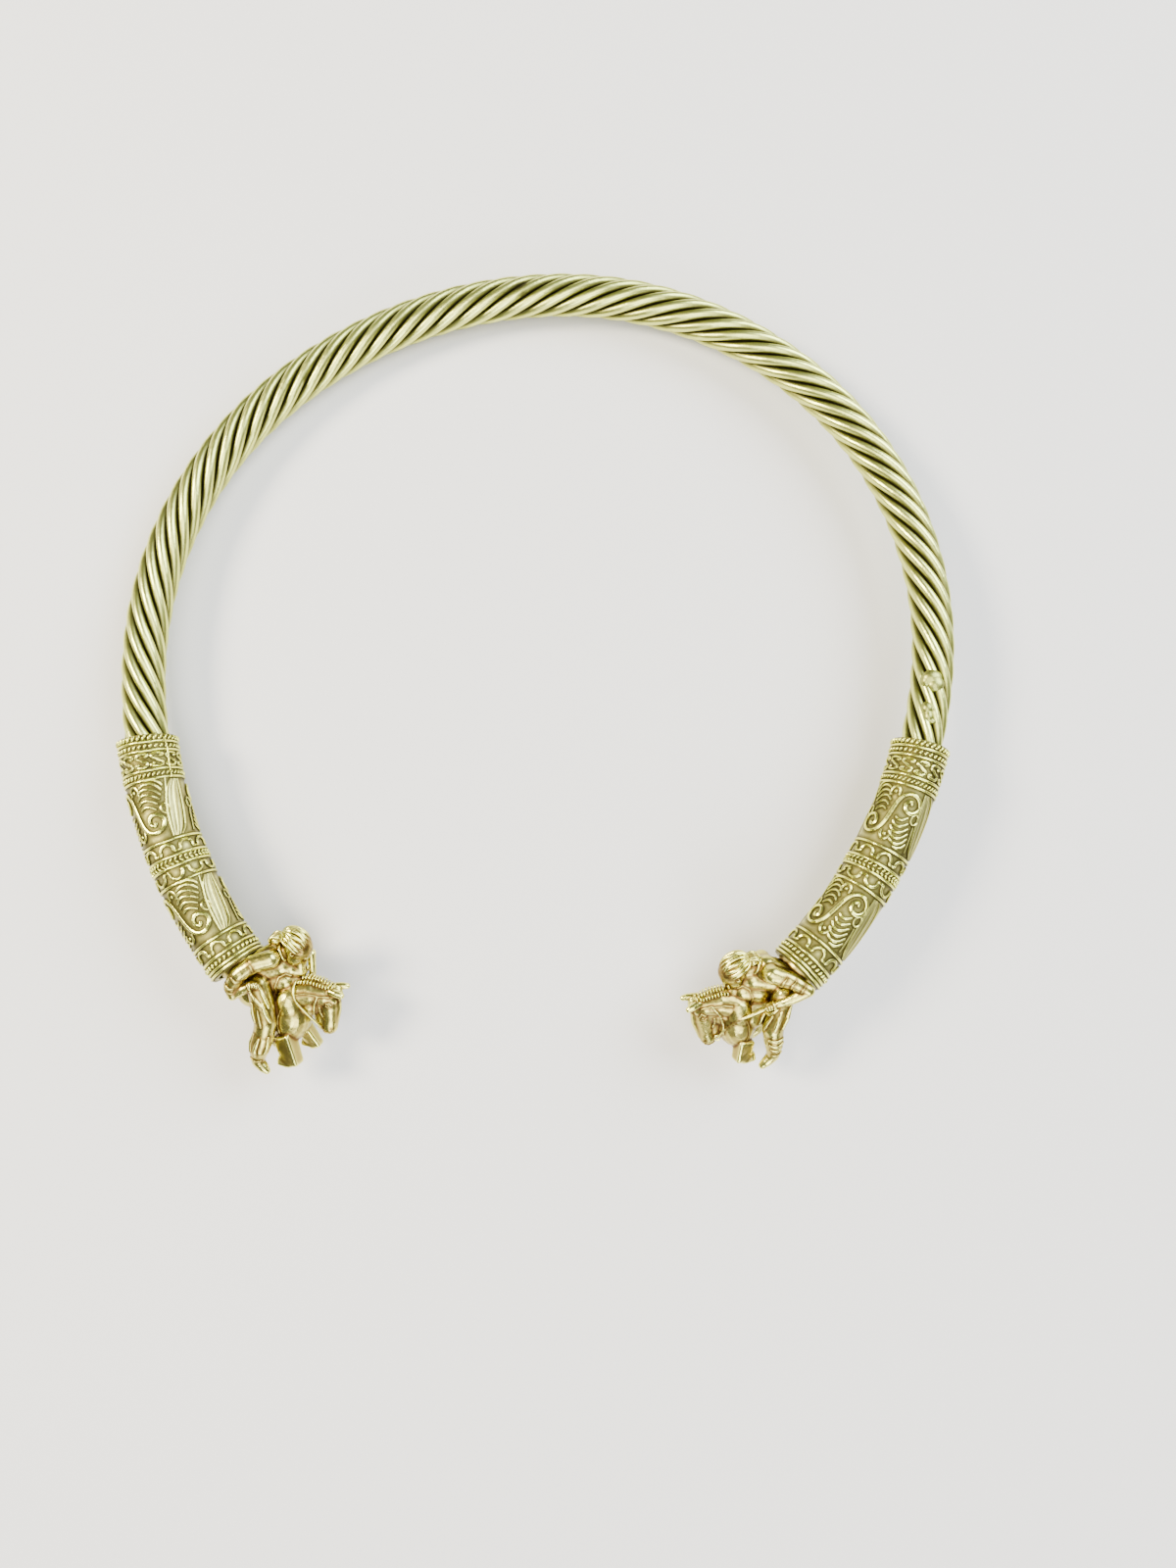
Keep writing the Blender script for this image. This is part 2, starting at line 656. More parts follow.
rider = {
    "left": {
        "trunk": ((4, -2.4, 0, 2.5), (4.8, 0.4, 0, 2.2), (6.2, 2.2, 0, 2.1)),
        "shoulders": ((6.1, 2.6, -2.3, 1.35), (6.1, 2.8, 2.2, 1.45)),
        "skirt": ((2.9, -3, 0, 2.5), (4.2, -4.4, 0, 2.6)),
        "nearArm": (
            (6.2, 3, 2.4, 1.45), (4, 1.8, 3.1, 1.4), (2.3, -0.3, 3.6, 1.3), (1.6, -2.6, 3.7, 1.15),
            (2.1, -4.1, 3.7, 0.8),
        ),
        "forearm": ((2.1, -4, 3.6, 0.8), (3.3, -2.8, 3.6, 0.8), (4.4, -1.7, 3.6, 0.7)),
        "nearHand": ((4.5, -1.5, 3.6, 0.78), (5.3, -1.2, 3.6, 0.7)),
        "farArm": ((6, 2.4, -2.5, 1.2), (8.6, 3.3, -3.1, 1), (11, 3.3, -2.3, 0.8)),
        "farHand": ((11, 3.3, -2.3, 0.72), (12.1, 0.9, -1.3, 0.55), (12.2, 0.5, -1.1, 0.6)),
        "breast": ((5.2, -0.2, 0, 2.3), (7.4, 1.3, 0, 1.9), (8.9, 1.2, 0, 1.4), (10.4, 1.1, -0.4, 1.1)),
        "beard": ((9.9, 3.2, 0, 1), (10.4, 1.4, -0.2, 0.95)),
        "back": ((1.3, -0.9, 0, 3), (2.8, -1.2, 0, 2.8)),
        "shoulderBlade": ((5.9, 3.3, 0.3, 1.4), (4.6, 2.1, 1.2, 1.4), (3.7, 1.2, 2.2, 1.3)),
    },
    "right": {
        "trunk": ((2.4, -2.9, 0, 2.4), (3, 0.2, 0, 2.3), (4.7, 1.7, 0, 2.2)),
        "shoulders": ((4.3, 2, -2.3, 1.35), (4.2, 2.1, 2.2, 1.5)),
        "skirt": ((1.6, -3.1, 0, 2.35), (3, -4.2, 0, 2.5)),
        "nearArm": ((4.1, 2.1, 2.5, 1.5), (1.7, 0.8, 3.4, 1.35), (-0.5, -1.3, 4.5, 1)),
        "forearm": ((-0.5, -1.4, 4.5, 0.95), (2.2, -2.2, 4.1, 0.9), (4.9, -2.75, 3.65, 0.62)),
        "nearHand": ((5.1, -2.8, 3.55, 0.72), (5.8, -2.9, 3.45, 0.66)),
        "farArm": ((4.3, 1.7, -2.5, 1.2), (7.2, 2.2, -3.3, 1), (9.6, 2.2, -2.6, 0.75)),
        "farHand": ((9.6, 2.2, -2.6, 0.7), (10.6, 0.9, -1.3, 0.55), (10.7, 0.7, -1, 0.62)),
        "breast": ((4, -0.6, 0, 2.3), (6.6, 0.7, 0, 1.95), (8.3, 0.4, 0, 1.45), (9.6, 0.2, -0.3, 1.1)),
        "beard": ((9.3, 2, 0, 0.95), (9.7, 0.6, -0.2, 0.9)),
        "back": ((0.4, -0.6, 0, 2.95), (1.6, -1, 0, 2.6)),
        "shoulderBlade": ((4.3, 2.6, 0.3, 1.5), (2.6, 1.3, 1.2, 1.5), (1.2, 0.1, 2, 1.4)),
    },
}
legs = {
    "left": (
        ((5.2, -1.9, 2.3, 1.8), (6.9, -4.7, 3.1, 1.8), (7.9, -7.1, 3.5, 1.7), (8, -9.4, 3.65, 1.65)),
        ((8, -9.4, 3.65, 1.75), (7.9, -11.4, 3.75, 1.6), (8, -13, 3.75, 1.15)),
        ((8.1, -13.6, 3.75, 1), (9.2, -14.4, 3.8, 0.85), (9.8, -14.8, 3.8, 0.6)),
    ),
    "right": (
        ((2.9, -2.4, 2.3, 1.8), (4.3, -4.7, 3, 1.8), (5.9, -7.2, 3.5, 1.7), (6.2, -9.2, 3.6, 1.55)),
        ((6.2, -9.2, 3.6, 1.6), (6.5, -11, 3.75, 1.2), (6.8, -12, 3.75, 1.05)),
        ((6.9, -12.2, 3.75, 1), (8, -12.9, 3.8, 0.85), (8.8, -13.4, 3.8, 0.65)),
    ),
}
forelegs = {  # squared stumps: from, to, width at each end; the shin is folded back under each
    "left": (
        ((10.6, -8.9, 1.9), (13.4, -13.4, 2.3), 3, 2.6),
        ((12.2, -8.6, -1.9), (15.4, -11.9, -2.3), 2.4, 1.95),
    ),
    "right": (
        ((10.3, -8.9, 1.9), (11.8, -12.4, 2.3), 2.8, 2.4),
        ((11, -7.6, -1.7), (12.5, -9.6, -2), 2.5, 2),
    ),
}
shin = {"back": (-2.3, -0.35, 0.1), "from": 0.12, "wide": 0.8, "narrow": 0.62}  # shares of its stump

# The rider's head, on its own axes: f towards the face, g towards the crown
head = {
    "middle": {"left": (9.3, 4.75), "right": (9.55, 2.85)},
    "tilt": -36,
    "hairMiddle": {"left": (8.65, 5.75), "right": (8.9, 3.9)},
    "hairTilt": {"left": -26, "right": -20},
    "hairSize": (2.45, 1.95, 2.05),
    "locks": 12,
    "lockRadius": 0.28,
    "lockFan": 102,  # degrees from the crown to the last lock on each side
    "lockSweep": (16, 156),  # degrees from the brow to a lock's start, and on to its end
    "lockShares": (0.62, 0.95, 1.05, 1.08, 1.08, 1.05, 1, 0.85, 0.6),  # of its thickness
    "curl": 0.3,
    "bunch": {"left": (5.85, 5.2), "right": (6.1, 3.95)},
    "bunchLocks": 5,
    "bunchLine": ((0.75, 0.7, 0.8, 0.6), (-0.2, 0.78, 1, 1), (-0.82, 0.15, 1, 1), (-0.62, -0.6, 0.9, 0.6)),
}
faceForms = (  # place f, g, out; radius; stretch along f, g, out
    ((-0.25, 0.35, 0), 2.2, (1.08, 1, 0.9)),
    ((0.75, -0.85, 0), 1.75, (0.86, 1.12, 0.88)),
    ((1.35, -2.1, 0), 0.6, (0.95, 0.8, 1.15)),
)
faceChains = (
    ((1.95, 0.35, 0, 0.2), (2.3, -0.35, 0, 0.24), (2.42, -0.62, 0, 0.3)),  # nose
    ((1.9, 0.42, -0.95, 0.2), (2, 0.48, 0, 0.24), (1.9, 0.42, 0.95, 0.2)),  # brow
    ((1.45, -0.7, -0.75, 0.5), (1.45, -0.7, 0.75, 0.5)),  # cheeks
    ((0, -1, 1.25, 0.4), (1.3, -2.05, 0.4, 0.42)),  # jaw
    ((0, -1, -1.25, 0.4), (1.3, -2.05, -0.4, 0.42)),
)
faceLines = (  # points f, g, out; radius
    (((1.98, 0.1, 0.32), (2.02, 0.2, 0.58), (1.86, 0.08, 0.86)), 0.075),  # upper lids
    (((1.98, -0.08, 0.34), (2, -0.14, 0.58), (1.86, -0.06, 0.84)), 0.06),
    (((2, -1.22, -0.36), (2.16, -1.16, 0), (2, -1.22, 0.36)), 0.1),  # lips
    (((1.94, -1.42, -0.28), (2.08, -1.44, 0), (1.94, -1.42, 0.28)), 0.11),
)

# Lines laid on the figure: points forwards, up and share of the width; radius; how far they are sunk
bothLines = (
    (((9.6, 0.6), (8.7, 0.8), (7.9, 0), (7.7, -1.4), (8.2, -3.4)), 0.12, 0.02),  # edge of the saddle cloth
    (((9.6, -4.4), (9.4, -5.8), (9.7, -7.4), (10.4, -8.9)), 0.1, 0.02),  # edge of the chest
    (((11, -1.7), (12.4, -1.1), (13.8, -1), (14.8, -1.2)), 0.11, 0),  # lower edge of the mane
)
headLines = (
    (((14.3, -1.1), (14.1, -2.6), (14.3, -4.4), (15, -6.2)), 0.2, 0.05),  # cheek strap
    (((14.3, -1.1), (15.3, -0.9), (16.2, -1)), 0.14, 0.04),
    (((14.9, -2.9), (15.2, -3.9), (15.9, -4.8)), 0.22, 0.12),  # edge of the cheek
    (((16.3, -7.05), (16.9, -6.95), (17.5, -7.1)), 0.1, 0),  # lip
    (((15.75, -2.1), (16.2, -1.85), (16.75, -2.2)), 0.13, 0),  # eyelids
    (((15.8, -2.45), (16.25, -2.62), (16.7, -2.4)), 0.09, 0),
    (((17.3, -6.2), (17.65, -6.35), (17.6, -6.75), (17.3, -6.8)), 0.1, 0),  # rim of the nostril
)
dressLines = {
    "left": (
        (((5.4, -3.9, 0.5), (5.9, -5.4), (6.9, -7.2, 0.5)), 0.42, 0.12),  # folds on the thigh
        (((6.9, -3.3, 0.5), (7.9, -4.9), (9.2, -6.5, 0.5)), 0.45, 0.12),
        (((6.6, -4.6, 0.5), (7.4, -6.2), (7.9, -7.4, 0.4)), 0.25, 0.05),
        (((6.8, -8.5, 0.5), (6.6, -10.2), (7, -12.2, 0.5)), 0.36, 0.12),  # gathers below the knee
        (((7.9, -8.8, 0.5), (7.7, -10), (7.6, -11), (8, -12.4, 0.5)), 0.36, 0.12),
        (((9.1, -8.4, 0.5), (9.2, -10), (8.9, -12, 0.5)), 0.36, 0.12),
        (((7, -12.8), (8, -13.1), (9.1, -12.8)), 0.12, 0),  # top of the shoe
        (((4.6, -2.3, 0.5), (5.8, -3.1), (7.2, -3.9), (8.1, -4.6, 0.5)), 0.3, 0.05),  # hem
        (((5.6, -0.9, 0.5), (6.6, -2.2), (7.6, -3.4), (8.2, -4.2, 0.4)), 0.42, 0.12),
        (((0.7, -1.9, 0.5), (1.6, -2.5), (2.6, -2.3, 0.5)), 0.25, 0.1),  # creases at the elbow
        (((0.9, -3, 0.5), (1.7, -3.4), (2.6, -3.1, 0.5)), 0.22, 0.1),
        (((1.4, -0.5, 0.5), (2.3, -1.1), (3.3, -1, 0.5)), 0.25, 0.12),
        (((3.2, 2.6, 0.5), (4.2, 1.7), (4.6, 0.8, 0.5)), 0.25, 0.14),
    ),
    "right": (
        (((2.5, -3.4, 0.5), (3.5, -5), (5.2, -7.2, 0.5)), 0.42, 0.12),
        (((4.2, -3.6, 0.5), (5.2, -5.2), (6.4, -7, 0.5)), 0.45, 0.12),
        (((5.6, -4.2, 0.5), (6.6, -5.4), (7.6, -6.9, 0.5)), 0.3, 0.06),
        (((4.8, -8.6, 0.6), (6, -8.6), (7.6, -7.9, 0.6)), 0.32, 0.1),
        (((4.9, -9.4, 0.6), (6.2, -9.6), (7.6, -8.9, 0.6)), 0.3, 0.1),
        (((5.2, -10.3, 0.6), (6.3, -10.5), (7.5, -9.9, 0.6)), 0.28, 0.1),
        (((5.5, -11.2), (6.4, -11.5), (7.4, -11.1)), 0.14, 0),
        (((4.6, -3.2, 0.5), (6, -4.2), (7.2, -5.4), (8.1, -6.7, 0.45)), 0.34, 0.05),
        (((-0.2, 0.2, 0.5), (0.6, -0.4), (0.9, -1.1, 0.5)), 0.22, 0.1),
        (((1, 1.3, 0.5), (1.9, 0.7), (2.3, -0.1, 0.5)), 0.25, 0.12),
        (((2.2, 2.1, 0.5), (3.1, 1.4), (3.5, 0.6, 0.5)), 0.25, 0.12),
    ),
}
knuckles = {
    "left": ((4.5, -1.4), (4.85, -1.2), (5.2, -1.1), (5.5, -1.2)),
    "right": ((5.1, -2.9), (5.5, -2.8), (5.85, -2.85), (6.2, -3)),
}
reins = {
    "hanging": (  # forwards, up, out
        (10.5, 0.15, 0.5), (10.4, -0.4, 1.5), (10.65, -1.2, 2.35), (11.4, -2.4, 2.75), (12.8, -3.55, 2.55),
        (14.5, -5.1, 1.9), (16, -6.5, 1.05),
    ),
    "held": (  # with the share of its thickness
        (6.1, -2.75, 3.75, 1.7), (8.4, -3.3, 3.5, 1.6), (10.7, -3.95, 3.05, 1.2), (12.4, -5, 2.5, 0.9),
        (13.6, -6.3, 1.9, 0.9), (14.4, -7.4, 1.4, 0.9),
    ),
}
mane = {
    "rows": (-0.4, 0.3, 0.95),
    "tufts": 12,
    "from": 10.75,
    "step": 0.48,
    "lift": 0.14,
    "forelockRows": (-0.45, 0, 0.45),
    "forelock": (  # forwards, up, share of the row, share of its thickness
        (15.9, 0.25, 0.6, 0.7), (16.8, 0.1, 1, 1.1), (17.3, -0.7, 1.1, 1), (17.4, -1.6, 1, 0.5),
    ),
}


def limb(joints):
    pieces = [ball(joint[:3], joint[3]) for joint in joints]
    for joint, following in zip(joints, joints[1:]):
        start, end = Vector(joint[:3]), Vector(following[:3])
        bone = end - start
        bpy.ops.mesh.primitive_cone_add(
            vertices=20, radius1=joint[3], radius2=following[3], depth=bone.length,
            location=(start + end) / 2, rotation=bone.to_track_quat("Z", "Y").to_euler()
        )
        pieces.append(justAdded())
    return pieces


def stump(start, end, wide, narrow):
    # a squared stump with rounded edges
    start, end = Vector(start), Vector(end)
    bone = end - start
    bpy.ops.mesh.primitive_cube_add(size=1, location=(0, 0, 0.5))
    piece = justAdded()
    for vertex in piece.data.vertices:
        across = narrow if vertex.co.z > 0.5 else wide
        vertex.co = (vertex.co.x * across, vertex.co.y * across * 0.86, vertex.co.z * bone.length)
    modify(piece, "BEVEL", width=0.3, segments=3)
    turned = Matrix.Rotation(radians(15), 4, "Z")
    turned = bone.to_track_quat("Z", "Y").to_matrix().to_4x4() @ turned
    return settle(piece, Matrix.Translation(start) @ turned)


def farSide(joints):
    return tuple((x, y, -z * terminal["farLeg"], r) for x, y, z, r in joints)


def ring(place, direction, radius, wire):
    bpy.ops.mesh.primitive_torus_add(
        major_radius=radius, minor_radius=wire, major_segments=28, minor_segments=8, location=place,
        rotation=Vector(direction).to_track_quat("Z", "Y").to_euler()
    )
    return justAdded()


def wireLine(points, radius):
    # a wire or lock in the round, with a share of its thickness at each point
    shares = [place[3] if len(place) > 3 else 1.0 for place in points]
    return roundWires([([(place[:3], radius * share) for place, share in zip(points, shares)], False)], 3)


def bowed(side, place):
    # a point of the horse's head, as far as that side's horse bows
    x, y = terminal["poll"]
    away = Matrix.Rotation(radians(terminal["bow"][side]), 2) @ Vector((place[0] - x, place[1] - y))
    away *= terminal["headLength"][side] if place[1] < terminal["headFrom"] else 1.0
    return (x + away.x, y + away.y, *place[2:])


def onSkin(tree, x, y, out=1):
    # a place on the figure's near (out = 1) or far (out = -1) side, and which way it faces
    return tree.ray_cast((x, y, terminal["outside"] * out), (0, 0, -out))[:2]


def layOn(tree, line, radius, sunk, out):
    corners = [(Vector(point[:2]), point[2] if len(point) > 2 else 1) for point in line]
    laid = []
    for (start, first), (end, last) in zip(corners, corners[1:]):
        for step in range(4):
            place, share = start.lerp(end, step / 4), first + (last - first) * step / 4
            spot, normal = onSkin(tree, place.x, place.y, out)
            if spot is not None:
                laid.append((*(spot + normal * (radius * 0.3 - sunk)), share))
    return [wireLine(laid, radius)] if len(laid) > 2 else []


def makeHead(side):
    # solid forms, and crisp lines that are laid on them afterwards
    tilt = radians(head["tilt"])
    middle = Vector((*head["middle"][side], 0))
    face, crown = Vector((cos(tilt), sin(tilt), 0)), Vector((-sin(tilt), cos(tilt), 0))

    def onHead(place):
        return middle + face * place[0] + crown * place[1] + Vector((0, 0, place[2]))

    forms = [ball(onHead(place), *shape, (0, 0, head["tilt"])) for place, *shape in faceForms]
    for chain in faceChains:
        forms += limb([(*onHead(joint), joint[3]) for joint in chain])
    lines = [wireLine([onHead(point) for point in points], radius) for points, radius in faceLines]
    for out in (-1, 1):
        eye, ear = onHead((1.88, 0, 0.6 * out)), onHead((0, -0.35, 1.82 * out))
        lines.append(ball(eye, 0.2, (0.8, 0.75, 1.3), (0, 0, head["tilt"]), (12, 6)))
        lines.append(ring(ear, (0.15, 0, out), 0.26, 0.11))

    hairTilt, size = head["hairTilt"][side], head["hairSize"]
    hairMiddle = Vector((*head["hairMiddle"][side], 0))
    forms.append(ball(hairMiddle, 1, [extent * 0.9 for extent in size], (0, 0, hairTilt), (32, 16)))

    def onHair(swing, around, lift=0.0):
        # swing from the brow to the nape, around the head from its top
        place = Vector((
            (size[0] + lift) * cos(swing), (size[1] + lift) * sin(swing) * cos(around),
            (size[2] + lift) * sin(swing) * sin(around)
        ))
        return hairMiddle + Matrix.Rotation(radians(hairTilt), 3, "Z") @ place

    for number in range(head["locks"]):
        around = radians(-head["lockFan"] + 2 * head["lockFan"] * number / (head["locks"] - 1))
        points = []
        for step, share in enumerate(head["lockShares"]):
            swing = radians(head["lockSweep"][0] + head["lockSweep"][1] * step / 8)
            points.append((*onHair(swing, around + 0.07 * sin(step * 1.3 + number * 1.7)), share))
        lines.append(wireLine(points, head["lockRadius"]))
        curl = onHair(radians(19 + 5 * (number % 2)), around, 0.12)
        lines.append(ball(curl, head["curl"], faces=(10, 5)))
    bunch = Vector((*head["bunch"][side], 0))
    forms.append(ball(bunch, 1, (0.9, 0.9, 1.2)))
    for number in range(head["bunchLocks"]):
        out = (number - head["bunchLocks"] // 2) * 0.52
        line = [(*(bunch + Vector((x, y, out * z))), share) for x, y, z, share in head["bunchLine"]]
        lines.append(wireLine(line, 0.22))
    neckFoot = Vector(rider[side]["trunk"][-1][:3]) + Vector((0.3, 0.5, 0))
    forms += limb(((*neckFoot, 1.45), (*onHead((-0.5, -1, 0)), 1.25)))
    lines.append(ring(neckFoot + Vector((0.95, 0.9, 0)), (0.8, 0.62, 0), 1.5, 0.22))
    return forms, lines


def makeFigure(side):
    # the cast body as one skin
    forms, lines = makeHead(side)
    forms += [ball(bowed(side, place) if place[0] > 14 else place, *shape) for place, *shape in bodyForms]
    for chain in horseBody + tuple(rider[side].values()):
        forms += limb(chain)
    for chain in horseHead:
        forms += limb([bowed(side, joint) for joint in chain])
    for chain in legs[side]:
        forms += limb(chain) + limb(farSide(chain))
    for start, end, wide, narrow in forelegs[side]:
        forms.append(stump(start, end, wide, narrow))
        knee = Vector(end) + (Vector(start) - Vector(end)) * shin["from"]
        forms.append(stump(knee, knee + Vector(shin["back"]), narrow * shin["wide"], narrow * shin["narrow"]))
    place, heading, reach = halves[side][-1]
    long, wide = terminal["rootLength"], terminal["rootRadius"]
    bpy.ops.mesh.primitive_cone_add(
        vertices=48, radius1=wide, radius2=wide * 0.75, depth=long, location=place + heading * long / 2,
        rotation=heading.to_track_quat("Z", "Y").to_euler()
    )
    toFigure = terminalMatrix(side).inverted()
    forms.append(settle(justAdded(), toFigure))
    casting = merge(forms, f"finial{side.title()}")
    tidyMesh(casting)
    oneSkin(casting, terminal["voxel"], terminal["smoothing"])
    cutOff(casting, toFigure @ (place + heading * 0.05), toFigure.to_3x3() @ -heading)
    return casting, lines


def chaseFigure(side, casting):
    # what the chaser's tools add: locks of the mane, straps, hems, folds and fingers
    tree = treeOf(casting)
    lines = []
    for out in (-1, 1):
        for line, radius, sunk in bothLines + dressLines[side]:
            lines += layOn(tree, line, radius, sunk, out)
        for line, radius, sunk in headLines:
            lines += layOn(tree, [bowed(side, point) for point in line], radius, sunk, out)
        eye = onSkin(tree, *bowed(side, (16.25, -2.3)), out)[0]
        lines.append(ball(eye, 0.2, (1.2, 0.85, 0.6), faces=(12, 6)))
        if side == "left" or out < 0:
            lines.append(wireLine([(*bowed(side, (x, y)), z * out) for x, y, z in reins["hanging"]], 0.18))
    for place in knuckles[side]:
        spot, normal = onSkin(tree, *place)
        finger = [(*(spot + Vector((0.05, 0.5, -0.35))), 0.8), (*(spot + normal * 0.04), 1)]
        finger.append((*(spot + Vector((-0.05, -0.55, -0.35))), 0.8))
        lines.append(wireLine(finger, 0.2))
    arm = [Vector(joint[:3]) for joint in rider[side]["forearm"]]
    lines.append(ring(arm[-1], arm[-1] - arm[-2], rider[side]["forearm"][-1][3] + 0.02, 0.19))  # cuff
    if side == "right":
        lines.append(wireLine(reins["held"], 0.17))
        lines.append(ring(reins["held"][-1][:3], (0.2, 0.3, 1), 0.42, 0.14))
    for row in mane["rows"]:
        for number in range(mane["tufts"]):
            place = (mane["from"] + mane["step"] * number, 1.9, row)
            spot, normal = tree.ray_cast(place, (0, -1, 0))[:2]
            if spot is not None and spot.y > -1.5:
                lines.append(ball(spot + normal * mane["lift"], 0.34, (0.58, 1.2, 1), faces=(10, 5)))
    for row in mane["forelockRows"]:
        points = [(*bowed(side, (x, y, row * z)), share) for x, y, z, share in mane["forelock"]]
        lines.append(wireLine(points, 0.27))
    return lines


def terminalMatrix(side):
    sign = handed[side]
    down, lean = radians(terminal["downward"]), radians(terminal["roll"][side])
    inwards, back, up = Vector((-sign, 0, 0)), Vector((0, 1, 0)), Vector((0, 0, 1))
    forward = inwards * cos(down) - back * sin(down)
    upward = (inwards * sin(down) + back * cos(down)) * cos(lean) + up * sin(lean)
    out = forward.cross(upward) * -sign
    place = halves[side][-1][0] + forward * terminal["seat"][side]
    columns = (forward, upward, out, place)
    return Matrix([[column[row] for column in columns] for row in range(3)] + [[0, 0, 0, 1]])


def shadeHollows(casting):
    # how far the surface stands over a much smoothed copy of itself
    smoothed = copyOf(casting)
    modify(smoothed, "SMOOTH", factor=0.5, iterations=terminal["hollowSmoothing"])
    values = []
    for vertex, calm in zip(casting.data.vertices, smoothed.data.vertices):
        standing = (vertex.co - calm.co).dot(vertex.normal)
        values.append(unit(terminal["levelRelief"] + standing / terminal["hollowDepth"]))
    bpy.data.objects.remove(smoothed)
    return values


def makeTerminal(side):
    casting, lines = makeFigure(side)
    lines += chaseFigure(side, casting)
    values = shadeHollows(casting)
    count = len(values)
    skin = treeOf(casting)
    casting = merge(lines + [casting], f"finial{side.title()}")
    places = [v.co.copy() for v in casting.data.vertices]
    dark = terminal["dirtRelief"]
    for index, distance in enumerate(apartFrom(places, count)):  # dirt close beside the lines
        values[index] *= dark + (1 - dark) * min(distance / terminal["dirtTo"], 1)
    for place in places[count:]:  # and low on the lines themselves
        spot, normal = skin.find_nearest(place)[:2]
        values.append(0.3 + 0.65 * unit((place - spot).dot(normal) / 0.2))
    setRelief(casting, values)
    settle(casting, toWorld @ terminalMatrix(side))
    tidyMesh(casting, distance=0)
    select(casting)
    bpy.ops.object.shade_smooth()
    return casting


castings = {side: makeTerminal(side) for side in handed}
bpy.data.objects.remove(hoopLine)
print("terminals made")


# Materials
def linear(code):
    channels = [int(code[i:i + 2], 16) / 255 for i in (1, 3, 5)]
    return [c / 12.92 if c <= 0.04045 else ((c + 0.055) / 1.055) ** 2.4 for c in channels] + [1.0]


def addNode(tree, kind, settings=None, links=None):
    made = tree.nodes.new(kind)
    for key, value in (settings or {}).items():
        if isinstance(key, str) and hasattr(made, key):
            setattr(made, key, value)
        else:
            made.inputs[key].default_value = value
    for key, source in (links or {}).items():
        tree.links.new(source, made.inputs[key])
    return made


def giltBrass(name, look):
    # gilded brass: bright where it is rubbed, brown in its hollows
    material = bpy.data.materials.new(name)
    material.use_nodes = True
    tree = material.node_tree
    shader = tree.nodes["Principled BSDF"]
    shader.inputs["Metallic"].default_value = 1.0
    place = addNode(tree, "ShaderNodeTexCoord").outputs["Object"]
    worn = addNode(tree, "ShaderNodeAttribute", {"attribute_name": "relief"}).outputs["Fac"]
    bumps = None
    for kind, detail, height in (("cloud", 4.0, 0), ("grain", 2.0, 0.00004), ("wave", 1.0, 0.0001)):
        size, share, bump = look[kind]
        noise = {"Scale": 1 / size, "Detail": detail}
        noise = addNode(tree, "ShaderNodeTexNoise", noise, {"Vector": place}).outputs["Fac"]
        if share:
            spread = {"operation": "MULTIPLY_ADD", 1: share, 2: -share / 2}
            spread = addNode(tree, "ShaderNodeMath", spread, {0: noise}).outputs[0]
            worn = addNode(tree, "ShaderNodeMath", {"operation": "ADD"}, {0: worn, 1: spread}).outputs[0]
        if bump:
            links = {"Height": noise, "Normal": bumps} if bumps else {"Height": noise}
            bumps = addNode(tree, "ShaderNodeBump", {"Strength": bump, "Distance": height}, links).outputs[0]
    for socket, stops in (("Base Color", look["colours"]), ("Roughness", look["roughness"])):
        ramp = addNode(tree, "ShaderNodeValToRGB", links={"Fac": worn})
        elements = ramp.color_ramp.elements
        while len(elements) < len(stops):
            elements.new(0.5)
        for element, (position, stop) in zip(elements, stops):
            element.position = position
            element.color = linear(stop) if isinstance(stop, str) else (stop, stop, stop, 1.0)
        tree.links.new(ramp.outputs["Color"], shader.inputs[socket])
    tree.links.new(bumps, shader.inputs["Normal"])
    return material


# Clouds of tarnish, grain, and waves left by handwork: size in metres, share in the colour, bump.
# Real grain is about a tenth as wide, and is drawn as coarse as it needs to show.
# Drawn wire: one satin light along each, and a brown groove beside it.
wireMetal = giltBrass("giltDrawnBrass", {
    "cloud": (0.004, 0.25, 0), "grain": (0.00022, 0.16, 0.5), "wave": (0.0012, 0, 0.5),
    "colours": ((0.3, "#423e1e"), (0.6, "#79783e"), (0.8, "#b9bc60"), (0.96, "#e2e67c")),
    "roughness": ((0.3, 0.6), (0.7, 0.38), (0.95, 0.3)),
})
# Sheet with soldered wires: polished tops over a matt, duller ground.
sleeveMetal = giltBrass("giltSolderedBrass", {
    "cloud": (0.003, 0.22, 0), "grain": (0.0002, 0.14, 0.45), "wave": (0.0009, 0, 0.45),
    "colours": ((0.0, "#4e4822"), (0.25, "#888246"), (0.5, "#bcb868"), (0.7, "#dedb70"), (0.95, "#f8f876")),
    "roughness": ((0.02, 0.55), (0.5, 0.34), (0.95, 0.22)),
})
# Cast and burnished: wavy, with sharp lights and red-brown hollows.
castMetal = giltBrass("giltCastBrass", {
    "cloud": (0.004, 0.18, 0), "grain": (0.00025, 0.08, 0.3), "wave": (0.0011, 0, 1.0),
    "colours": ((0.1, "#3e2810"), (0.4, "#705628"), (0.65, "#ac9c4c"), (0.95, "#f0ea7a")),
    "roughness": ((0.1, 0.5), (0.5, 0.32), (0.95, 0.22)),
})
# Never rubbed, inside the twist: dull and brown.
coreMetal = giltBrass("tarnishedBrass", {
    "cloud": (0.003, 0.3, 0), "grain": (0.0003, 0.2, 0.4), "wave": (0.001, 0, 0.3),
    "colours": ((0.0, "#2c210d"), (0.4, "#4a3a18"), (0.8, "#6b5626"), (1.0, "#8a7236")),
    "roughness": ((0.0, 0.65), (0.5, 0.55), (1.0, 0.45)),
})


def assign(piece, material, slot, *nodes):
    piece.data.materials.clear()
    piece.data.materials.append(material)
    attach(piece, "root")
    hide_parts(*nodes)


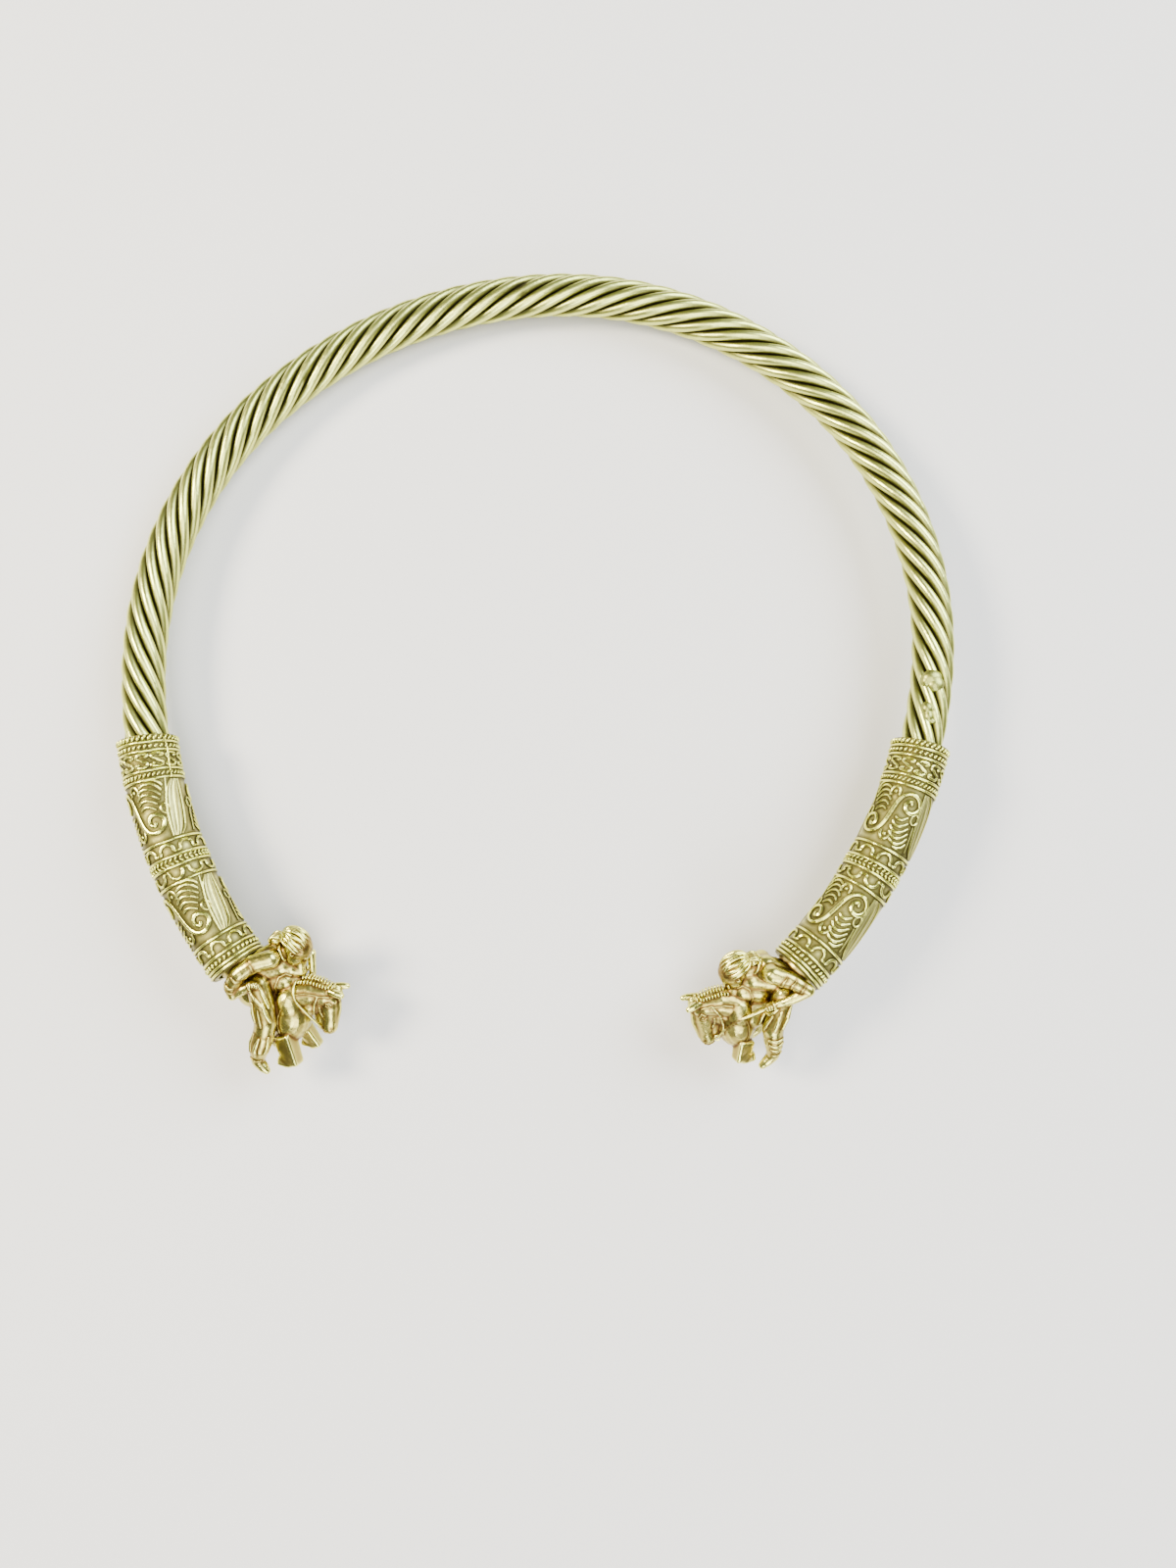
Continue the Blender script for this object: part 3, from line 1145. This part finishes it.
for number in range(1, rope["wires"] + 1):
    assign(bpy.data.objects[f"wire{number}"], wireMetal, "hoop_wire", f"strand_{number}")
for side in handed:
    assign(sleeves[side], sleeveMetal, "sleeve_metal", f"sleeve_{side}")
    assign(castings[side], castMetal, "terminal_metal", f"finial_{side}")
core = frame["nodes"]["core_rod"]
for slotted in core.material_slots:
    slotted.material = coreMetal
print("materials set")

# Floor, light and camera
bpy.ops.mesh.primitive_plane_add(size=4, location=(0, 0, -0.00003))  # just under the ring
floor = justAdded()
floor.name = "floor"
floorPaint = bpy.data.materials.new("paleMattPaint")  # rolled wall paint: no gloss and no pattern
floorPaint.use_nodes = True
paint = floorPaint.node_tree.nodes["Principled BSDF"].inputs
paint["Base Color"].default_value = linear("#dcd8d0")
paint["Roughness"].default_value = 0.85
floor.data.materials.append(floorPaint)

world = bpy.data.worlds.new("studio")
world.use_nodes = True
air = world.node_tree.nodes["Background"].inputs
air["Color"].default_value = linear("#d6dbe2")
air["Strength"].default_value = 0.26
bpy.context.scene.world = world

lamps = {  # place, size, power, colour; each faces the ring's middle
    "lampLeft": ((-0.5, 0.12, 0.45), 0.22, 11.0, "#fff6e2"),
    "windowRight": ((0.5, 0.35, 0.5), 0.6, 15.0, "#e6f0ff"),
    "softTop": ((-0.05, -0.25, 0.9), 0.7, 9.0, "#ffffff"),
    "windowFront": ((0.12, -0.62, 0.4), 0.42, 5.5, "#f2f6ff"),
}
for name, (place, size, power, colour) in lamps.items():
    data = bpy.data.lights.new(name, "AREA")
    data.shape = "DISK"
    data.size = size
    data.energy = power
    data.color = linear(colour)[:3]
    lamp = addObject(name, data)
    lamp.location = place
    lamp.rotation_euler = (-Vector(place)).to_track_quat("-Z", "Y").to_euler()

view = {"place": (-0.0015247, -0.0303344, 0.1926694), "turn": (3.31422, -2.75928, -0.01202), "lens": 27.0}
cameraData = bpy.data.cameras.new("camera")
cameraData.sensor_fit = "VERTICAL"
cameraData.sensor_height = 36.0
cameraData.lens = view["lens"]
cameraData.clip_start = 0.005
camera = addObject("camera", cameraData)
camera.location = view["place"]
camera.rotation_euler = [radians(angle) for angle in view["turn"]]
bpy.context.scene.camera = camera
